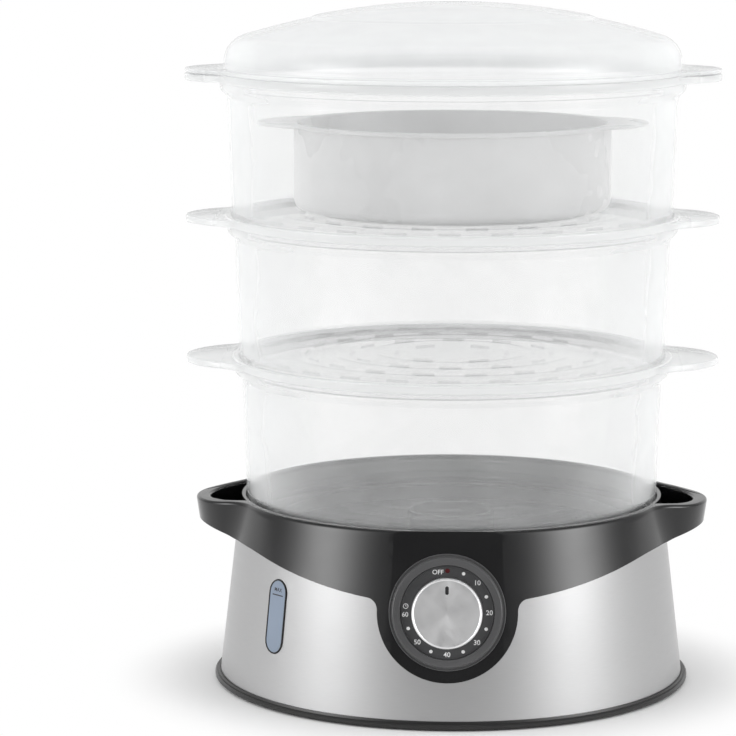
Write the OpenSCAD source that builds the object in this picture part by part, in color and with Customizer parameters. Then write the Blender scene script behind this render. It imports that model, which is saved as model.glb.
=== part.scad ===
// Electric food steamer: a heated water base, three stacked clear baskets, a rice bowl and a lid.
// Millimetres. +Z is up, the dial faces -Y, and the origin is on the table under the baskets' axis.

/* [Base] */
// Height of the bottom pan's plate above the table
pan_z = 2.8; // [2.4:0.1:5]
// Thickness of the bottom pan's plate
pan_t = 2.4; // [1.8:0.1:3]
// Outer radius of the black ring at the foot of the base
foot_ring_r = 142.4; // [141.6:0.2:150]
// Gap between the black ring and the table
foot_ring_gap = 0.8; // [0.4:0.1:1.4]
// Height of the black ring
foot_ring_h = 3.2; // [2.6:0.1:5]
// Outer radius of the steel skirt at its foot
skirt_foot_r = 139.2; // [138:0.2:140]
// Draft of the steel skirt, radius lost per millimetre of height
skirt_draft = 0.118; // [0.11:0.002:0.13]
// Thickness of the steel sheet
skirt_t = 0.8; // [0.6:0.1:1.2]
// Height of the skirt's hidden top edge
skirt_top_z = 91; // [89.5:0.5:91.5]
// Distance of the rubber feet from the axis
foot_pitch_r = 112; // [100:1:122]
// Radius of the rubber feet
foot_r = 9; // [6:0.5:12]

/* [Upper housing] */
// Height of the housing's rim
rim_z = 112; // [111.5:0.5:116]
// Outer radius of the housing at the rim
rim_r = 128.8; // [128.2:0.2:130]
// Draft of the black band, radius gained per millimetre down
band_draft = 0.176; // [0.17:0.002:0.19]
// Height of the band's lower edge at the front, where the lobe hangs from it
band_edge_z = 71.3; // [70:0.1:72]
// Radius of the arch that the band's lower edge follows towards the handles
band_arch_r = 380; // [340:10:420]
// Height of the handles' underside where they leave the band
handle_under_z = 89.4; // [88:0.2:90]
// Rise of the handles' underside per millimetre outwards
handle_rise = 0.28; // [0.2:0.02:0.32]
// Reach of each handle from the axis
handle_reach = 153.6; // [150:0.2:158]
// Radius of each handle's rounded end
handle_r = 40; // [37:0.5:43]
// Radius of the blend between a handle and the band
handle_blend_r = 30; // [20:1:36]
// Height of the handles' top face
handle_top_z = 109.4; // [107.6:0.2:111]
// Width of the lip at a handle's tip
spout_lip = 9; // [7:0.5:11]
// Width of the lip along a handle's sides
spout_side_lip = 4; // [3:0.5:5]
// Thickness of the handles' floors
handle_floor = 3; // [2.4:0.1:4]
// Thickness of the shelf that the lowest basket stands on
shelf_t = 3; // [2.4:0.1:3.6]
// Width of the way that water takes from a handle into the reservoir
inlet_w = 48; // [30:1:52]

/* [Dial] */
// Distance of the dial's centre in front of the axis
dial_y = 133; // [132.6:0.2:133.8]
// Height of the dial's centre
dial_z = 67; // [66:0.5:67]
// Backward tilt of the flat front panel, in degrees
panel_tilt = 10; // [9:0.5:10.5]
// Radius of the lobe around the dial
lobe_r = 40; // [38:0.5:42]
// Radius of the blend between the lobe and the band's lower edge
lobe_blend_r = 7; // [5:0.5:9]
// Thickness of the lobe's front wall
lobe_wall = 3; // [2.6:0.1:3.6]
// Outer radius of the grey bezel
bezel_r = 31.8; // [31.2:0.2:34]
// Width of the grey bezel
bezel_w = 5; // [4.2:0.2:5.4]
// Height of the grey bezel above the panel
bezel_h = 4; // [3.2:0.2:6]
// Thickness of the dark scale disc
scale_t = 2; // [1.4:0.1:2.6]
// Radius of the knob
knob_r = 19.8; // [17:0.2:21.4]
// Height of the knob, from its foot to its face
knob_h = 15; // [12:0.5:20]
// Thickness of the knob's metal cap
cap_t = 0.9; // [0.6:0.1:1.2]
// Distance of the knob's pointer notch from the knob's centre
notch_at = 13; // [10:0.5:14]
// Length of the pointer notch
notch_l = 4.8; // [3:0.2:6]
// Width of the pointer notch
notch_w = 2; // [1.4:0.1:2.6]
// Radius of the timer's shaft
shaft_r = 3; // [2.5:0.1:3.4]
// Radius of the threaded neck that the shaft turns in
neck_r = 5; // [4.4:0.1:5.6]
// Radius of the timer's body
timer_r = 22; // [19:0.5:22.4]
// Depth of the timer's body
timer_l = 25.5; // [18:0.5:28]
// Radius of the indicator lamp
lamp_r = 1.3; // [1:0.1:1.6]
// Distance of the lamp and the scale's marks from the dial's centre
mark_ring_r = 23.6; // [22.8:0.1:24]

/* [Level window] */
// Angle of the level window from the front, towards -X
window_angle = 48.5; // [46:0.5:54]
// Height of the level window's centre
window_z = 53.7; // [52.5:0.1:55]
// Width of the level window
window_w = 14; // [12:0.2:16]
// Length of the level window
window_l = 42; // [40:0.5:46]
// Width of the black seal that shows round the level window
seal_w = 0.8; // [0.8:0.1:1.6]

/* [Water and heat] */
// Inner radius of the water reservoir
tank_r = 110; // [108.6:0.2:111]
// Wall thickness of the water reservoir
tank_t = 2.2; // [1.8:0.1:2.6]
// Height of the reservoir's floor
tank_floor_z = 38; // [37:0.5:40]
// Radius of the opening in the reservoir's floor for the heater
heater_hole_r = 44; // [42.5:0.5:45]
// Thickness of the heater dish
dish_t = 1.5; // [1.2:0.1:1.8]
// Thickness of the seal between the heater dish and the reservoir
heater_seal_t = 3.5; // [2.6:0.1:4]
// Radius of the heater tube's coil
coil_r = 30; // [28:0.5:34]
// Radius of the heater tube itself
tube_r = 4; // [3:0.1:4.2]
// Outer radius of the steam ring
steam_ring_r = 50; // [48:0.5:54]
// Height of the steam ring
steam_ring_h = 44; // [36:1:46]
// Outer radius of the drip tray's flange
tray_r = 116; // [115.4:0.2:116.4]
// Depth of the drip tray below its flange
tray_depth = 8; // [6:0.5:8]
// Wall thickness of the drip tray
tray_t = 1.8; // [1.4:0.1:2.2]

/* [Baskets] */
// Outer radius of the lowest basket at its foot
basket_r = 122.4; // [122:0.1:122.8]
// Radius that each basket gains over the one below
tier_step = 4.1; // [3.8:0.1:4.6]
// Height from one basket's foot to the next one's
tier_pitch = 84; // [76:1:100]
// Depth by which a basket sits in the rim below
seat_depth = 9; // [8.5:0.5:10]
// Wall thickness of the baskets and the lid
wall_t = 2.2; // [1.8:0.1:2.4]
// Draft of the baskets' walls, radius gained per millimetre up
wall_draft = 0.037; // [0.026:0.001:0.038]
// Thickness of the baskets' floors
floor_t = 2.3; // [1.8:0.1:3]
// Width of a basket's foot
foot_w = 4; // [3.4:0.1:4.4]
// Width of the band round a basket's rim beyond the foot that it holds
flange_w = 4.8; // [4.4:0.1:6]
// Height of the band round a basket's rim
flange_h = 5; // [4:0.5:6]
// Reach of the ears from the axis
ear_reach = 158.8; // [154:0.2:164]
// Radius of an ear's rounded end
ear_r = 44; // [38:1:50]
// Radius of the blend between an ear and the rim
ear_blend_r = 50; // [30:2:64]
// Thickness of an ear's skin and edge
ear_skin = 1.8; // [1.4:0.1:2]
// Width of a steam slot
slot_w = 3; // [2:0.2:4]
// Length of a steam slot
slot_l = 13; // [8:0.5:15]

/* [Rice bowl] */
// Outer radius of the rice bowl
bowl_r = 94; // [84:1:96]
// Height of the rice bowl
bowl_h = 54; // [40:1:58]
// Wall thickness of the rice bowl
bowl_t = 2.2; // [1.6:0.1:3]
// Reach of the bowl's tabs from the axis
bowl_tab_reach = 116; // [112:1:120]

/* [Lid] */
// Outer radius of the lid above the rim
lid_r = 135.3; // [134.9:0.2:136.5]
// Height of the lid's top above the rim
lid_h = 41; // [37:0.5:46]
// Radius of the lid's domed top
lid_dome_r = 425; // [390:5:480]
// Radius of the lid's shoulder
lid_shoulder_r = 16; // [12:0.5:19]
// Radius of the raised round panel on the lid
lid_panel_r = 84; // [70:1:95]
// Height of the step round the raised panel
lid_panel_h = 1; // [0.6:0.1:1.6]
// Thickness of the lid's flange
lid_flange_t = 2.6; // [2:0.1:3]

/* [Hidden] */
$fn = 96;

// Clearances and overshoot
seat_gap = 0.5; // round a basket's foot and the lid's plug in the rim that holds them
snug = 0.15;    // between pieces that are fixed together
running = 0.05; // round the turning shaft
eps = 0.5;      // how far a cut runs past the solid that it cuts
bite = 0.02;    // how far a blend's circle overlaps the circles that it joins

// The skirt and the housing's band, as radii at a height
skirt_foot_z = foot_ring_gap + foot_ring_h;
function skirt_out(z) = skirt_foot_r - skirt_draft * (z - skirt_foot_z);
function band_out(z) = rim_r + band_draft * (rim_z - z);
skirt_slope = atan(skirt_draft);

// The pan
pan_top = pan_z + pan_t;
ridge_h = 1.2;
ridge_w = 1.4;
upstand_z = 14;
upstand_r = skirt_out(upstand_z) - skirt_t - 2 * snug;
upstand_t = 2.2;
vent_count = 8;
vent_size = [22, 3];
vent_r = 84;

// The seats of the baskets and the lid
function foot_z(i) = rim_z - seat_depth + tier_pitch * (i - 1);
function foot_at(i) = basket_r + tier_step * (i - 1);
function recess_r(i) = foot_at(i + 1) + wall_draft * seat_depth + seat_gap;
function flange_r(i) = foot_at(i + 1) + flange_w;
shelf_reach = 5.4;            // of the shelf that a foot stands on, inwards from the foot's outside
floor_top = seat_depth + 0.5; // of a basket above its own foot
foot_round = 3;

// The housing
seat_z = foot_z(1);
seat_r = recess_r(0);
shelf_r = foot_at(1) - shelf_reach;
under_z = skirt_top_z + 0.5;
under_r = skirt_out(skirt_top_z) - skirt_t - 1.8;
handle_root_x = 127; // where the handles' undersides start to rise
spout_wall = 2.5;
spout_step_z = under_z + spout_wall;
inlet_h = 5;
band_round = 1.2;
lobe_low_z = dial_z - lobe_r - 10;

// The dial
timer_cavity_r = 33;
timer_cavity_l = 48;
bracket_t = 1.5;
bracket_size = [60, 20];
bracket_screw_x = 26;
timer_back = -lobe_wall - bracket_t;
bell_r = 18;
bell_gap = 1;
bell_h = 5;
knob_foot = scale_t + 0.4;
knob_face = knob_foot + knob_h;
small_screw_r = 1.4;
lamp_tail = bracket_t - 0.2; // of the lamp behind the panel, with its collar

// The level window
window_at = [0, -skirt_out(window_z), window_z];
window_deep = 3;
duct_l = 32;
duct_mouth = 1.5;
duct_wall = 2;

// The reservoir
tank_floor_t = 2.5;
tank_low = tank_floor_z - tank_floor_t;
tank_rim_t = 2;
tank_rim_z = under_z + snug + tank_rim_t;
pocket_w = 30;
pocket_y = 92;
pocket_z = 89.4;
post_pitch_r = 98;
post_angles = [30, 150, 210, 330];
post_r = 5;
post_screw_r = 1.9;
post_screw_l = 14;

// The heater
dish_z = tank_low - heater_seal_t - dish_t;
dish_r = heater_hole_r + 10;
dish_rise = 3;
clamp_t = 1.5;
clamp_pitch_r = dish_r + 5;
coil_z = dish_z + dish_rise - tube_r;
coil_gap = 60; // degrees left open between the coil's two ends
coil_x = coil_r * sin(coil_gap / 2);
coil_y = coil_r * cos(coil_gap / 2);
coil_tail = 9;
coil_pin = 5;
thermostat_l = 14.5;
blade_x = 5;
boss_r = 4;

// The cord's gland
gland_z = 22;
gland_r = 7;
gland_bore_r = 3.6;
gland_l = 13;
gland_flange = [10, 2.2];
gland_seat = [24, 22, 4]; // the wall in the pan that the gland sits in
gland_rib = [21, 8, 8];   // the rib at that wall's foot
block_size = [34, 14, 12];
block_y = 92;

// Frames: x right, y up and z outwards on the dial's panel, the level window and the gland's seat
module at_dial() translate([0, -dial_y, dial_z]) rotate([90 - panel_tilt, 0, 0]) children();
module at_window() rotate([0, 0, -window_angle]) translate(window_at)
    rotate([90 - skirt_slope, 0, 0]) children();
module at_gland() translate([0, skirt_out(gland_z), gland_z]) rotate([skirt_slope - 90, 0, 0])
    children();
module ring_of(angles, r) for (a = angles) rotate([0, 0, a]) translate([r, 0, 0]) children();

// Two half circles joined by a square, upright and centred
module stadium(w, l) {
    square([w, l - w], center = true);
    for (s = [-1, 1]) translate([0, s * (l - w) / 2]) circle(w / 2);
}

// A circle with a rounded lobe on each side, blended into it
module lobed(ring, end, reach, blend) {
    x = reach - end;
    a = ring + blend - bite;
    b = end + blend - bite;
    fx = (a * a - b * b + x * x) / (2 * x);
    fy = sqrt(a * a - fx * fx);
    circle(ring);
    for (s = [-1, 1]) {
        translate([s * x, 0]) circle(end);
        for (t = [-1, 1]) difference() {
            polygon([[0, 0], [s * x, 0], [s * fx, t * fy]]);
            translate([s * fx, t * fy]) circle(blend);
        }
    }
}

// The space above the band's arched lower edge and the handles' rising undersides, raised by lift
module above_edge(lift) {
    far = handle_reach + 30;
    near = handle_root_x;
    function under(x) = handle_under_z + handle_rise * (x - near) + lift;
    rotate([90, 0, 0]) translate([0, 0, -far]) linear_extrude(2 * far) {
        translate([0, band_edge_z + band_arch_r + lift]) circle(band_arch_r, $fn = 256);
        polygon([[-far, under(far)], [-near, under(near)], [near, under(near)], [far, under(far)],
            [far, rim_z + far], [-far, rim_z + far]]);
    }
}

module lobe_outline() {
    corner = lobe_r + lobe_blend_r;
    edge_z = band_edge_z + corner * corner / (2 * band_arch_r);
    edge_y = sqrt(pow(band_out(edge_z), 2) - corner * corner);
    top = (dial_y - edge_y) * sin(panel_tilt) + (edge_z - dial_z) * cos(panel_tilt);
    circle(lobe_r);
    translate([-lobe_r, 0]) square([2 * lobe_r, top + 2]);
    for (s = [-1, 1]) difference() {
        translate([s * (lobe_r + corner) / 2, top - lobe_blend_r / 2 + 1])
            square([lobe_blend_r, lobe_blend_r + 2], center = true);
        translate([s * corner, top - lobe_blend_r]) circle(lobe_blend_r);
    }
}

// ---- Base ----

module base_pan() color([0.09, 0.09, 0.09]) {
    inner = upstand_r - upstand_t;
    ridge_r = skirt_foot_r + snug + ridge_w;
    difference() {
        union() {
            rotate_extrude() polygon([[0, pan_z], [inner - 6, pan_z], [inner, foot_ring_gap],
                [foot_ring_r - 1, foot_ring_gap], [foot_ring_r, foot_ring_gap + 1],
                [foot_ring_r, skirt_foot_z - 0.8], [foot_ring_r - 0.8, skirt_foot_z],
                [ridge_r, skirt_foot_z], [ridge_r - 0.4, skirt_foot_z + ridge_h],
                [ridge_r - ridge_w, skirt_foot_z + ridge_h], [ridge_r - ridge_w, skirt_foot_z],
                [upstand_r, skirt_foot_z], [upstand_r, upstand_z], [inner, upstand_z],
                [inner, pan_top], [0, pan_top]]);
            intersection() {
                union() {
                    at_gland() translate([-gland_seat[0] / 2, -gland_seat[1] / 2, 2 - gland_l])
                        cube(gland_seat);
                    translate([-gland_rib[0] / 2, inner - gland_rib[1] - 1, pan_top - eps])
                        cube(gland_rib);
                }
                translate([0, 0, pan_top - eps]) cylinder(r = upstand_r, h = gland_z + 20);
            }
        }
        at_gland() translate([0, 0, -gland_l - 10]) cylinder(r = gland_r + snug, h = gland_l + 10);
        for (a = [45:90:315]) rotate([0, 0, a]) translate([foot_pitch_r, 0, 0])
            cylinder(r = 3.2 + snug, h = pan_top + eps);
        ring_of(post_angles, post_pitch_r) cylinder(r = post_screw_r + 0.3, h = pan_top + eps);
        for (a = [0:360 / vent_count:359]) rotate([0, 0, a + 22.5]) translate([vent_r, 0, pan_z])
            cube([vent_size[1], vent_size[0], 3 * pan_t], center = true);
    }
}

module base_feet() color([0.14, 0.14, 0.14]) ring_of([45:90:315], foot_pitch_r) {
    cylinder(r1 = foot_r - 0.8, r2 = foot_r, h = pan_z);
    cylinder(r = 3.2, h = pan_top + 1.6);
    translate([0, 0, pan_top]) cylinder(r1 = 4.4, r2 = 3.2, h = 1.6);
}

module base_screws() color("silver") ring_of(post_angles, post_pitch_r) {
    translate([0, 0, pan_z - 1.8]) cylinder(r = 3.6, h = 1.8);
    translate([0, 0, pan_z - eps]) cylinder(r = post_screw_r - running, h = pan_t + post_screw_l - 2);
}

module steel_skirt() color([0.78, 0.78, 0.78]) difference() {
    rotate_extrude() polygon([[skirt_out(skirt_foot_z) - skirt_t, skirt_foot_z],
        [skirt_out(skirt_foot_z), skirt_foot_z], [skirt_out(skirt_top_z), skirt_top_z],
        [skirt_out(skirt_top_z) - skirt_t, skirt_top_z]]);
    at_dial() translate([0, 0, -25]) cylinder(r = lobe_r - 5, h = 40);
    at_window() translate([0, 0, -4]) linear_extrude(8)
        stadium(window_w + 2 * seal_w + 2 * snug, window_l + 2 * seal_w + 2 * snug);
    at_gland() translate([0, 0, -5]) cylinder(r = gland_r + snug, h = 10);
}

module upper_housing() color([0.08, 0.08, 0.08]) {
    far = 60;
    difference() {
        intersection() {
            union() {
                rotate_extrude() polygon([[0, lobe_low_z], [band_out(lobe_low_z), lobe_low_z],
                    [band_out(rim_z - band_round), rim_z - band_round],
                    [rim_r - band_round, rim_z], [0, rim_z]]);
                translate([0, 0, band_edge_z]) linear_extrude(handle_top_z - band_edge_z)
                    lobed(rim_r - snug, handle_r, handle_reach, handle_blend_r);
            }
            union() {
                above_edge(0);
                at_dial() translate([0, 0, -timer_cavity_l]) linear_extrude(far + timer_cavity_l)
                    lobe_outline();
            }
        }
        // The flat front panel
        at_dial() translate([-far, -far, 0]) cube([2 * far, 2 * far, far]);
        // The inside, which the skirt's top slips into
        rotate_extrude() polygon([[0, 0], [skirt_out(0) + snug, 0],
            [skirt_out(under_z) + snug, under_z], [under_r, under_z], [under_r, seat_z - shelf_t],
            [shelf_r, seat_z - shelf_t], [shelf_r, seat_z], [seat_r, seat_z], [seat_r, rim_z - 0.8],
            [seat_r + 0.8, rim_z + eps], [0, rim_z + eps]]);
        // The handles' hollows, which are the filling spouts
        intersection() {
            above_edge(handle_floor);
            difference() {
                for (s = [-1, 1]) translate([s * (handle_reach - spout_lip - handle_r + spout_side_lip),
                    0, handle_under_z - 8]) cylinder(r = handle_r - spout_side_lip, h = far);
                rotate_extrude() polygon([[0, 0], [skirt_out(0) + spout_wall, 0],
                    [skirt_out(under_z) + spout_wall, spout_step_z],
                    [under_r + spout_wall, spout_step_z], [under_r + spout_wall, seat_z],
                    [seat_r + spout_wall, seat_z], [seat_r + spout_wall, 2 * rim_z], [0, 2 * rim_z]]);
            }
        }
        for (s = [-1, 1]) translate([s * (under_r + 2), 0, spout_step_z + inlet_h / 2 + 0.3])
            cube([14, inlet_w, inlet_h], center = true);
        // Room for the timer, and the holes for its neck, its screws and the lamp
        at_dial() {
            translate([0, 0, -timer_cavity_l]) cylinder(r = timer_cavity_r,
                h = timer_cavity_l - lobe_wall);
            translate([0, 0, -lobe_wall - eps]) cylinder(r = neck_r + snug, h = lobe_wall + 2 * eps);
            for (s = [-1, 1]) translate([s * bracket_screw_x, 0, -lobe_wall - eps])
                cylinder(r = small_screw_r + running, h = lobe_wall);
            translate([0, mark_ring_r, -lobe_wall - eps])
                cylinder(r = lamp_r + running, h = lobe_wall + 2 * eps);
        }
    }
}

// ---- Water and heat ----

module water_reservoir() color([0.16, 0.16, 0.17]) {
    rim_out = under_r - snug;
    mouth = window_w + 2 * seal_w + 2 * snug;
    mouth_l = window_l + 2 * seal_w + 2 * snug;
    bore = window_w - 2 * duct_wall;
    bore_l = window_l - 2 * duct_wall;
    difference() {
        union() {
            translate([0, 0, tank_low]) cylinder(r = tank_r + tank_t, h = tank_rim_z - tank_low);
            translate([0, 0, tank_rim_z - tank_rim_t]) cylinder(r = rim_out, h = tank_rim_t);
            ring_of(post_angles, post_pitch_r) translate([0, 0, pan_top])
                cylinder(r = post_r, h = tank_low - pan_top + eps);
            ring_of([45:90:315], clamp_pitch_r) translate([0, 0, dish_z])
                cylinder(r = boss_r, h = tank_low - dish_z + eps);
            at_window() translate([0, 0, -duct_l]) linear_extrude(duct_l - duct_mouth)
                stadium(mouth + 2 * duct_wall, mouth_l + 2 * duct_wall);
        }
        // The front pocket that clears the timer, and the water's space behind it
        translate([-pocket_w, -pocket_y - 60, 0]) cube([2 * pocket_w, 60, pocket_z]);
        difference() {
            translate([0, 0, tank_floor_z]) cylinder(r = tank_r, h = 2 * rim_z);
            translate([-pocket_w - tank_t, -pocket_y - 60 + tank_t, 0])
                cube([2 * (pocket_w + tank_t), 60, tank_rim_z]);
        }
        translate([0, 0, tank_low - eps]) cylinder(r = heater_hole_r, h = tank_floor_t + 2 * eps);
        at_dial() translate([0, mark_ring_r, -lobe_wall - lamp_tail - 1])
            cylinder(r = lamp_r + 1, h = 2 * timer_cavity_l);
        at_window() {
            translate([0, 0, -duct_l - 8]) linear_extrude(duct_l + 9) stadium(bore, bore_l);
            translate([0, 0, -window_deep - 1]) linear_extrude(window_deep + 2)
                stadium(mouth, mouth_l);
        }
        ring_of(post_angles, post_pitch_r) translate([0, 0, pan_top - eps])
            cylinder(r = post_screw_r, h = post_screw_l + eps);
        ring_of([45:90:315], clamp_pitch_r) translate([0, 0, dish_z - eps])
            cylinder(r = small_screw_r + running, h = heater_seal_t + dish_t + eps);
    }
}

module level_window() color([0.55, 0.63, 0.7, 0.7]) at_window() {
    translate([0, 0, -window_deep]) linear_extrude(window_deep + 0.4)
        stadium(window_w - 2 * running, window_l - 2 * running);
}

module window_seal() color([0.05, 0.05, 0.05]) at_window() difference() {
    translate([0, 0, -window_deep - 1]) linear_extrude(window_deep + 1.9)
        stadium(window_w + 2 * seal_w, window_l + 2 * seal_w);
    translate([0, 0, -window_deep]) linear_extrude(window_deep + 2) stadium(window_w, window_l);
    translate([0, 0, -window_deep - 2]) linear_extrude(3)
        stadium(window_w - 2 * duct_wall, window_l - 2 * duct_wall);
}

module heater_dish() color([0.7, 0.71, 0.72]) rotate_extrude() polygon([[0, dish_z + dish_rise],
    [heater_hole_r - 6, dish_z + dish_rise], [heater_hole_r - 3, dish_z], [dish_r, dish_z],
    [dish_r, dish_z + dish_t], [heater_hole_r - 2, dish_z + dish_t],
    [heater_hole_r - 5, dish_z + dish_rise + dish_t], [0, dish_z + dish_rise + dish_t]]);

module heater_seal() color([0.75, 0.3, 0.2]) translate([0, 0, dish_z + dish_t]) difference() {
    cylinder(r = dish_r - 1, h = heater_seal_t);
    translate([0, 0, -eps]) cylinder(r = heater_hole_r + 1.5, h = heater_seal_t + 2 * eps);
}

module heater_tube() color([0.45, 0.45, 0.47]) translate([0, 0, coil_z]) {
    rotate([0, 0, coil_gap / 2 - 90]) rotate_extrude(angle = 360 - coil_gap) translate([coil_r, 0])
        circle(tube_r);
    ring_of([coil_gap / 2 - 90, -coil_gap / 2 - 90], coil_r) translate([0, 0, -coil_tail]) {
        rotate([0, 0, 45]) cylinder(r = tube_r - 0.8, h = coil_tail);
        translate([0, 0, -coil_pin]) cylinder(r = 1.5, h = coil_pin + eps);
    }
}

module heater_clamp() color([0.6, 0.6, 0.62]) translate([0, 0, dish_z - clamp_t]) difference() {
    cylinder(r = clamp_pitch_r + boss_r, h = clamp_t);
    translate([0, 0, -eps]) cylinder(r = heater_hole_r + 1, h = clamp_t + 2 * eps);
    ring_of([45:90:315], clamp_pitch_r) translate([0, 0, -eps])
        cylinder(r = small_screw_r + 0.2, h = clamp_t + 2 * eps);
}

module heater_screws() color("silver") ring_of([45:90:315], clamp_pitch_r) {
    translate([0, 0, dish_z - clamp_t - 1.8]) cylinder(r = 2.8, h = 1.8);
    translate([0, 0, dish_z - clamp_t - eps]) cylinder(r = small_screw_r, h = clamp_t + 5);
}

module thermostat() color([0.2, 0.16, 0.12]) translate([0, 0, dish_z + dish_rise]) {
    translate([0, 0, -5]) cylinder(r = 8, h = 5);
    translate([0, 0, -9]) cylinder(r = 10, h = 4.5);
    for (s = [-1, 1]) translate([s * blade_x - 0.5, -2.5, -thermostat_l])
        cube([1, 5, thermostat_l - 8.5]);
}

module thermal_fuse() color([0.8, 0.8, 0.75]) translate([0, 17, dish_z + dish_rise - 2.4])
    rotate([0, 90, 0]) {
        cylinder(r = 2.4, h = 14, center = true);
        cylinder(r = 0.8, h = 22, center = true);
    }

module steam_ring() color([0.85, 0.86, 0.86]) translate([0, 0, tank_floor_z]) difference() {
    union() {
        cylinder(r = steam_ring_r, h = steam_ring_h);
        translate([0, 0, steam_ring_h - 2]) cylinder(r = steam_ring_r + 2, h = 2);
    }
    translate([0, 0, -eps]) cylinder(r = steam_ring_r - tray_t, h = steam_ring_h + 2 * eps);
    for (a = [0:60:120]) rotate([0, 0, a]) cube([3 * steam_ring_r, 14, 14], center = true);
}

// A round dish with a flat front, which clears the reservoir's pocket
module tray_dish(r, low, front) intersection() {
    translate([0, 0, low]) cylinder(r = r, h = rim_z);
    translate([-rim_z - r, -front, 0]) cube([2 * (rim_z + r), 3 * r, tank_rim_z + tray_t]);
}

module drip_tray() color([0.2, 0.2, 0.21]) {
    outer = tank_r - 2;
    front = pocket_y - tank_t - 1;
    chimney_r = 26;
    low = tank_rim_z - tray_depth;
    difference() {
        union() {
            tray_dish(outer, low, front);
            translate([0, 0, tank_rim_z]) cylinder(r = tray_r, h = tray_t);
        }
        difference() {
            translate([0, 0, eps]) tray_dish(outer - tray_t, low + tray_t - eps, front - tray_t);
            cylinder(r = chimney_r, h = rim_z);
        }
        cylinder(r = chimney_r - tray_t, h = rim_z);
        for (s = [-1, 1]) translate([s * (outer + 12.5), 0, tank_rim_z])
            cube([24, inlet_w, 4 * tray_t], center = true);
    }
    difference() {
        translate([0, 0, tank_rim_z]) cylinder(r = chimney_r, h = seat_z - 2 - tank_rim_z);
        translate([0, 0, tank_rim_z - eps]) cylinder(r = chimney_r - tray_t, h = rim_z);
    }
}

// ---- Timer and dial ----

module timer_body() color([0.85, 0.84, 0.8]) at_dial() difference() {
    union() {
        translate([0, 0, timer_back - timer_l]) cylinder(r = timer_r, h = timer_l);
        translate([0, 0, timer_back - eps]) cylinder(r = neck_r, h = -timer_back + eps + scale_t - 0.4);
    }
    translate([0, 0, timer_back - timer_l + 3]) cylinder(r = shaft_r + running, h = 2 * timer_l);
}

module timer_shaft() color([0.75, 0.75, 0.77]) at_dial()
    translate([0, 0, timer_back - timer_l + 3.3])
        cylinder(r = shaft_r, h = timer_l - timer_back + knob_face - cap_t - 2 - 3.3);

module timer_bracket() color([0.65, 0.66, 0.68]) at_dial() difference() {
    translate([-bracket_size[0] / 2, -bracket_size[1] / 2, timer_back])
        cube([bracket_size[0], bracket_size[1], bracket_t]);
    translate([0, 0, timer_back - eps]) cylinder(r = neck_r + snug, h = bracket_t + 2 * eps);
    for (s = [-1, 1]) translate([s * bracket_screw_x, 0, timer_back - eps])
        cylinder(r = small_screw_r + 0.2, h = bracket_t + 2 * eps);
}

module timer_screws() color("silver") at_dial() for (s = [-1, 1])
    translate([s * bracket_screw_x, 0, timer_back]) {
        translate([0, 0, -1.8]) cylinder(r = 2.6, h = 1.8);
        translate([0, 0, -eps]) cylinder(r = small_screw_r, h = bracket_t + lobe_wall - 1 + eps);
    }

module timer_bell() color([0.8, 0.7, 0.4]) at_dial() {
    back = timer_back - timer_l;
    mouth = back - bell_gap;
    rotate_extrude() polygon([[0, back], [2, back], [2, mouth - bell_h + 1],
        [bell_r - 2, mouth - bell_h + 1], [bell_r - 1, mouth - bell_h + 2], [bell_r - 1, mouth],
        [bell_r, mouth], [bell_r, mouth - bell_h + 2], [bell_r - 2, mouth - bell_h],
        [0, mouth - bell_h]]);
}

module dial_bezel() color([0.33, 0.33, 0.33]) at_dial() rotate_extrude() polygon([
    [bezel_r - bezel_w, 0], [bezel_r, 0], [bezel_r, bezel_h - 2], [bezel_r - 0.9, bezel_h],
    [bezel_r - bezel_w + 0.8, bezel_h], [bezel_r - bezel_w, bezel_h - 0.8]]);

module dial_plate() color([0.25, 0.25, 0.25]) at_dial() difference() {
    cylinder(r = bezel_r - bezel_w - snug, h = scale_t);
    translate([0, 0, -eps]) cylinder(r = neck_r + snug, h = scale_t + 2 * eps);
    translate([0, mark_ring_r, -eps]) cylinder(r = lamp_r + running, h = scale_t + 2 * eps);
}

module indicator_lamp() color([0.7, 0.1, 0.1]) at_dial() translate([0, mark_ring_r, 0]) {
    translate([0, 0, -lobe_wall - lamp_tail]) cylinder(r = lamp_r,
        h = lobe_wall + lamp_tail + scale_t + 0.2);
    translate([0, 0, -lobe_wall - lamp_tail]) cylinder(r = lamp_r + 0.5, h = lamp_tail);
}

module knob_body() color([0.1, 0.1, 0.1]) at_dial() difference() {
    rotate_extrude() polygon([[0, knob_foot], [knob_r - 0.6, knob_foot], [knob_r - 0.6, knob_foot + 0.8],
        [knob_r - cap_t - running, knob_foot + 0.8], [knob_r - cap_t - running, knob_face - cap_t - 1],
        [knob_r - cap_t - 1, knob_face - cap_t], [0, knob_face - cap_t]]);
    translate([0, 0, knob_foot - eps])
        cylinder(r = shaft_r + running, h = knob_h - cap_t - 2 + eps + 0.2);
}

module knob_cap() color([0.75, 0.75, 0.75]) at_dial() difference() {
    rotate_extrude() polygon([[knob_r - cap_t, knob_foot + 0.9], [knob_r, knob_foot + 0.9],
        [knob_r, knob_face - 1.1], [knob_r - 1.1, knob_face], [0, knob_face],
        [0, knob_face - cap_t], [knob_r - cap_t - 1 + running, knob_face - cap_t],
        [knob_r - cap_t, knob_face - cap_t - 1]]);
    translate([0, notch_at, knob_face - cap_t - eps]) linear_extrude(cap_t + 2 * eps)
        stadium(notch_w, notch_l);
}

// ---- Wiring ----

module terminal_block() color([0.9, 0.89, 0.85]) translate([0, block_y, pan_top]) difference() {
    translate([-block_size[0] / 2, -block_size[1] / 2, 0]) cube(block_size);
    for (s = [-1, 0, 1], t = [-1, 1]) translate([s * 10, t * 3.6, block_size[2] - 4])
        cylinder(r = 1.9, h = 4 + eps);
}

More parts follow.
